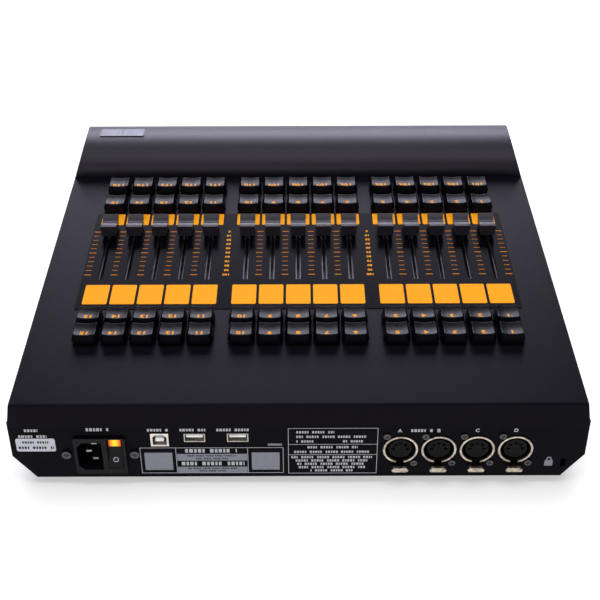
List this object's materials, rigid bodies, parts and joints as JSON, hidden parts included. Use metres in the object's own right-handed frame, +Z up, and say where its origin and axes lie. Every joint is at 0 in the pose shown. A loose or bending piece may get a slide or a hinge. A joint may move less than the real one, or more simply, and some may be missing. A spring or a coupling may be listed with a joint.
{
  "type": "lighting control desk",
  "caption": "Table-top lighting control desk: sliding faders and rows of push keys in a low metal case with a rounded palm rest and a rear connector panel.",
  "frame": {"origin": "on the table, in the middle of the footprint of the whole desk", "axes": "+Z up, +Y towards the connector panel at the back, -Y towards the user, +X towards the user's right"},
  "size_m": [0.39, 0.3851, 0.0986],
  "materials": {
    "cover_paint": "fine-textured charcoal powder coat",
    "tray_paint": "fine-textured charcoal powder coat",
    "panel_paint": "fine-textured black powder coat",
    "rest_paint": "fine-textured charcoal powder coat",
    "badge_silver": "satin anodised",
    "overlay_film": "matt printed film",
    "field_orange": "matt write-on print",
    "switch_black": "moulded",
    "pot_steel": "pressed zinc-plated steel",
    "board_green": "solder mask",
    "chip_black": "moulded epoxy",
    "supply_brown": "board and wound parts",
    "ribbon_grey": "flat ribbon cable",
    "wire_blue": "insulated wire",
    "inlet_black": "moulded",
    "pin_nickel": "nickel plated",
    "rocker_orange": "translucent, lit",
    "socket_shell": "plated shell",
    "tongue_white": "moulded",
    "xlr_nickel": "nickel plated",
    "insert_black": "moulded",
    "screw_black": "blackened steel",
    "spacer_metal": "turned",
    "foot_rubber": "moulded",
    "key_grey": "moulded, fine grain",
    "fader_grey": "moulded, fine grain"
  },
  "bodies": {
    "desk": {"top_cover": "cover_paint", "base_tray": "tray_paint", "rear_panel": "panel_paint", "palm_rest": "rest_paint", "badge_plate": "badge_silver", "fader_overlay": "overlay_film", "label_fields": "field_orange", "key_switches": "switch_black", "slide_potentiometers": "pot_steel", "rear_key_board": "board_green", "front_key_board": "board_green", "fader_board": "board_green", "main_board": "board_green", "main_board_parts": "chip_black", "power_supply": "supply_brown", "ribbon_cables": "ribbon_grey", "mains_wires": "wire_blue", "power_inlet": "inlet_black", "inlet_pins": "pin_nickel", "usb_sockets": "socket_shell", "usb_tongues": "tongue_white", "xlr_housings": "xlr_nickel", "xlr_inserts": "insert_black", "xlr_screws": "screw_black", "inlet_screws": "screw_black", "case_screws": "screw_black", "board_spacers": "spacer_metal", "feet": "foot_rubber"},
    "power_rocker": {"power_rocker": "rocker_orange"},
    "latch_a": {"latch_a": "xlr_nickel"},
    "latch_b": {"latch_b": "xlr_nickel"},
    "latch_c": {"latch_c": "xlr_nickel"},
    "latch_d": {"latch_d": "xlr_nickel"},
    "keys_row1_group1": {"keys_row1_group1": "key_grey"},
    "keys_row1_group2": {"keys_row1_group2": "key_grey"},
    "keys_row1_group3": {"keys_row1_group3": "key_grey"},
    "keys_row2_group1": {"keys_row2_group1": "key_grey"},
    "keys_row2_group2": {"keys_row2_group2": "key_grey"},
    "keys_row2_group3": {"keys_row2_group3": "key_grey"},
    "keys_row3_group1": {"keys_row3_group1": "key_grey"},
    "keys_row3_group2": {"keys_row3_group2": "key_grey"},
    "keys_row3_group3": {"keys_row3_group3": "key_grey"},
    "keys_row4_group1": {"keys_row4_group1": "key_grey"},
    "keys_row4_group2": {"keys_row4_group2": "key_grey"},
    "keys_row4_group3": {"keys_row4_group3": "key_grey"},
    "fader_01": {"fader_01": "fader_grey"},
    "fader_02": {"fader_02": "fader_grey"},
    "fader_03": {"fader_03": "fader_grey"},
    "fader_04": {"fader_04": "fader_grey"},
    "fader_05": {"fader_05": "fader_grey"},
    "fader_06": {"fader_06": "fader_grey"},
    "fader_07": {"fader_07": "fader_grey"},
    "fader_08": {"fader_08": "fader_grey"},
    "fader_09": {"fader_09": "fader_grey"},
    "fader_10": {"fader_10": "fader_grey"},
    "fader_11": {"fader_11": "fader_grey"},
    "fader_12": {"fader_12": "fader_grey"},
    "fader_13": {"fader_13": "fader_grey"},
    "fader_14": {"fader_14": "fader_grey"},
    "fader_15": {"fader_15": "fader_grey"}
  },
  "joints": [
    {"name": "fader_01_slide", "type": "slide", "parent": "desk", "child": "fader_01", "axis": [0, 1, 0], "range_m": [0, 0.06]},
    {"name": "fader_02_slide", "type": "slide", "parent": "desk", "child": "fader_02", "axis": [0, 1, 0], "range_m": [0, 0.06]},
    {"name": "fader_03_slide", "type": "slide", "parent": "desk", "child": "fader_03", "axis": [0, 1, 0], "range_m": [0, 0.06]},
    {"name": "fader_04_slide", "type": "slide", "parent": "desk", "child": "fader_04", "axis": [0, 1, 0], "range_m": [0, 0.06]},
    {"name": "fader_05_slide", "type": "slide", "parent": "desk", "child": "fader_05", "axis": [0, 1, 0], "range_m": [0, 0.06]},
    {"name": "fader_06_slide", "type": "slide", "parent": "desk", "child": "fader_06", "axis": [0, 1, 0], "range_m": [0, 0.06]},
    {"name": "fader_07_slide", "type": "slide", "parent": "desk", "child": "fader_07", "axis": [0, 1, 0], "range_m": [0, 0.06]},
    {"name": "fader_08_slide", "type": "slide", "parent": "desk", "child": "fader_08", "axis": [0, 1, 0], "range_m": [0, 0.06]},
    {"name": "fader_09_slide", "type": "slide", "parent": "desk", "child": "fader_09", "axis": [0, 1, 0], "range_m": [0, 0.06]},
    {"name": "fader_10_slide", "type": "slide", "parent": "desk", "child": "fader_10", "axis": [0, 1, 0], "range_m": [0, 0.06]},
    {"name": "fader_11_slide", "type": "slide", "parent": "desk", "child": "fader_11", "axis": [0, 1, 0], "range_m": [0, 0.06]},
    {"name": "fader_12_slide", "type": "slide", "parent": "desk", "child": "fader_12", "axis": [0, 1, 0], "range_m": [0, 0.06]},
    {"name": "fader_13_slide", "type": "slide", "parent": "desk", "child": "fader_13", "axis": [0, 1, 0], "range_m": [0, 0.06]},
    {"name": "fader_14_slide", "type": "slide", "parent": "desk", "child": "fader_14", "axis": [0, 1, 0], "range_m": [0, 0.06]},
    {"name": "fader_15_slide", "type": "slide", "parent": "desk", "child": "fader_15", "axis": [0, 1, 0], "range_m": [0, 0.06]},
    {"name": "keys_row1_group1_press", "type": "slide", "parent": "desk", "child": "keys_row1_group1", "axis": [0, 0, -1], "range_m": [0, 0.0015], "stiffness_N_per_m": 400, "springref_m": -0.001},
    {"name": "keys_row1_group2_press", "type": "slide", "parent": "desk", "child": "keys_row1_group2", "axis": [0, 0, -1], "range_m": [0, 0.0015], "stiffness_N_per_m": 400, "springref_m": -0.001},
    {"name": "keys_row1_group3_press", "type": "slide", "parent": "desk", "child": "keys_row1_group3", "axis": [0, 0, -1], "range_m": [0, 0.0015], "stiffness_N_per_m": 400, "springref_m": -0.001},
    {"name": "keys_row2_group1_press", "type": "slide", "parent": "desk", "child": "keys_row2_group1", "axis": [0, 0, -1], "range_m": [0, 0.0015], "stiffness_N_per_m": 400, "springref_m": -0.001},
    {"name": "keys_row2_group2_press", "type": "slide", "parent": "desk", "child": "keys_row2_group2", "axis": [0, 0, -1], "range_m": [0, 0.0015], "stiffness_N_per_m": 400, "springref_m": -0.001},
    {"name": "keys_row2_group3_press", "type": "slide", "parent": "desk", "child": "keys_row2_group3", "axis": [0, 0, -1], "range_m": [0, 0.0015], "stiffness_N_per_m": 400, "springref_m": -0.001},
    {"name": "keys_row3_group1_press", "type": "slide", "parent": "desk", "child": "keys_row3_group1", "axis": [0, 0, -1], "range_m": [0, 0.0015], "stiffness_N_per_m": 400, "springref_m": -0.001},
    {"name": "keys_row3_group2_press", "type": "slide", "parent": "desk", "child": "keys_row3_group2", "axis": [0, 0, -1], "range_m": [0, 0.0015], "stiffness_N_per_m": 400, "springref_m": -0.001},
    {"name": "keys_row3_group3_press", "type": "slide", "parent": "desk", "child": "keys_row3_group3", "axis": [0, 0, -1], "range_m": [0, 0.0015], "stiffness_N_per_m": 400, "springref_m": -0.001},
    {"name": "keys_row4_group1_press", "type": "slide", "parent": "desk", "child": "keys_row4_group1", "axis": [0, 0, -1], "range_m": [0, 0.0015], "stiffness_N_per_m": 400, "springref_m": -0.001},
    {"name": "keys_row4_group2_press", "type": "slide", "parent": "desk", "child": "keys_row4_group2", "axis": [0, 0, -1], "range_m": [0, 0.0015], "stiffness_N_per_m": 400, "springref_m": -0.001},
    {"name": "keys_row4_group3_press", "type": "slide", "parent": "desk", "child": "keys_row4_group3", "axis": [0, 0, -1], "range_m": [0, 0.0015], "stiffness_N_per_m": 400, "springref_m": -0.001},
    {"name": "latch_a_press", "type": "slide", "parent": "desk", "child": "latch_a", "axis": [0, -1, 0], "range_m": [0, 0.0015], "stiffness_N_per_m": 300, "springref_m": -0.001},
    {"name": "latch_b_press", "type": "slide", "parent": "desk", "child": "latch_b", "axis": [0, -1, 0], "range_m": [0, 0.0015], "stiffness_N_per_m": 300, "springref_m": -0.001},
    {"name": "latch_c_press", "type": "slide", "parent": "desk", "child": "latch_c", "axis": [0, -1, 0], "range_m": [0, 0.0015], "stiffness_N_per_m": 300, "springref_m": -0.001},
    {"name": "latch_d_press", "type": "slide", "parent": "desk", "child": "latch_d", "axis": [0, -1, 0], "range_m": [0, 0.0015], "stiffness_N_per_m": 300, "springref_m": -0.001},
    {"name": "rocker_tilt", "type": "hinge", "parent": "desk", "child": "power_rocker", "pos_m": [0.12425, 0.18455, 0.0302], "axis": [1, 0, 0], "range_deg": [-16, 0]}
  ]
}
